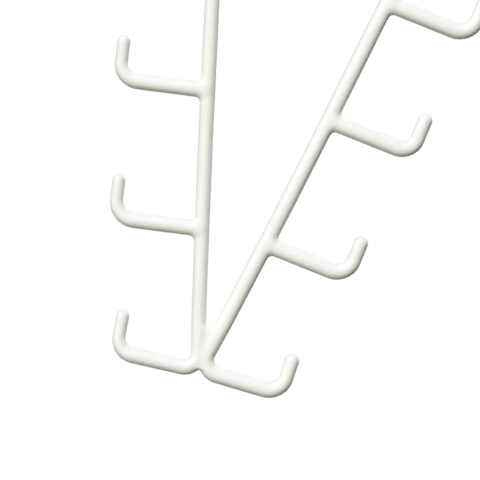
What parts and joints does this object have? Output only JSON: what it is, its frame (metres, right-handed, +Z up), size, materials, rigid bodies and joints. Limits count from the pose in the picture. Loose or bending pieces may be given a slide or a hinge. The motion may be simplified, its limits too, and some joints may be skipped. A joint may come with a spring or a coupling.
{
  "type": "tie hanger",
  "caption": "White vinyl-coated wire tie hanger: a V-shaped frame with upturned arms along both legs, carried by a swivelling hook for a closet rod.",
  "frame": {"origin": "where the hook sits on its rod: the highest point of the inside of the hook's bow", "axes": "+Z up, +X across the flat frame to its right side, +Y through the frame, away from the viewer of the picture"},
  "size_m": [0.164, 0.0104, 0.3548],
  "materials": {
    "white_vinyl": "thick dip-coated vinyl, soft gloss, slightly uneven",
    "steel_wire": "bright drawn wire, sealed under the vinyl",
    "plated_steel": "zinc-plated steel"
  },
  "bodies": {
    "hook": {"hook_wire": "plated_steel", "hook_coat": "white_vinyl", "swivel_washer": "plated_steel"},
    "frame": {"left_frame_wire": "steel_wire", "right_frame_wire": "steel_wire", "left_arm_2_wire": "steel_wire", "left_arm_3_wire": "steel_wire", "left_arm_4_wire": "steel_wire", "left_arm_5_wire": "steel_wire", "left_arm_6_wire": "steel_wire", "right_arm_2_wire": "steel_wire", "right_arm_3_wire": "steel_wire", "right_arm_4_wire": "steel_wire", "right_arm_5_wire": "steel_wire", "right_arm_6_wire": "steel_wire", "left_frame_coat": "white_vinyl", "right_frame_coat": "white_vinyl", "left_arm_2_coat": "white_vinyl", "left_arm_3_coat": "white_vinyl", "left_arm_4_coat": "white_vinyl", "left_arm_5_coat": "white_vinyl", "left_arm_6_coat": "white_vinyl", "right_arm_2_coat": "white_vinyl", "right_arm_3_coat": "white_vinyl", "right_arm_4_coat": "white_vinyl", "right_arm_5_coat": "white_vinyl", "right_arm_6_coat": "white_vinyl", "neck_collar": "plated_steel", "neck_coat": "white_vinyl"}
  },
  "joints": [
    {"name": "hook_swivel", "type": "hinge", "parent": "hook", "child": "frame", "pos_m": [0, 0, -0.07352], "axis": [0, 0, 1], "continuous": true}
  ]
}
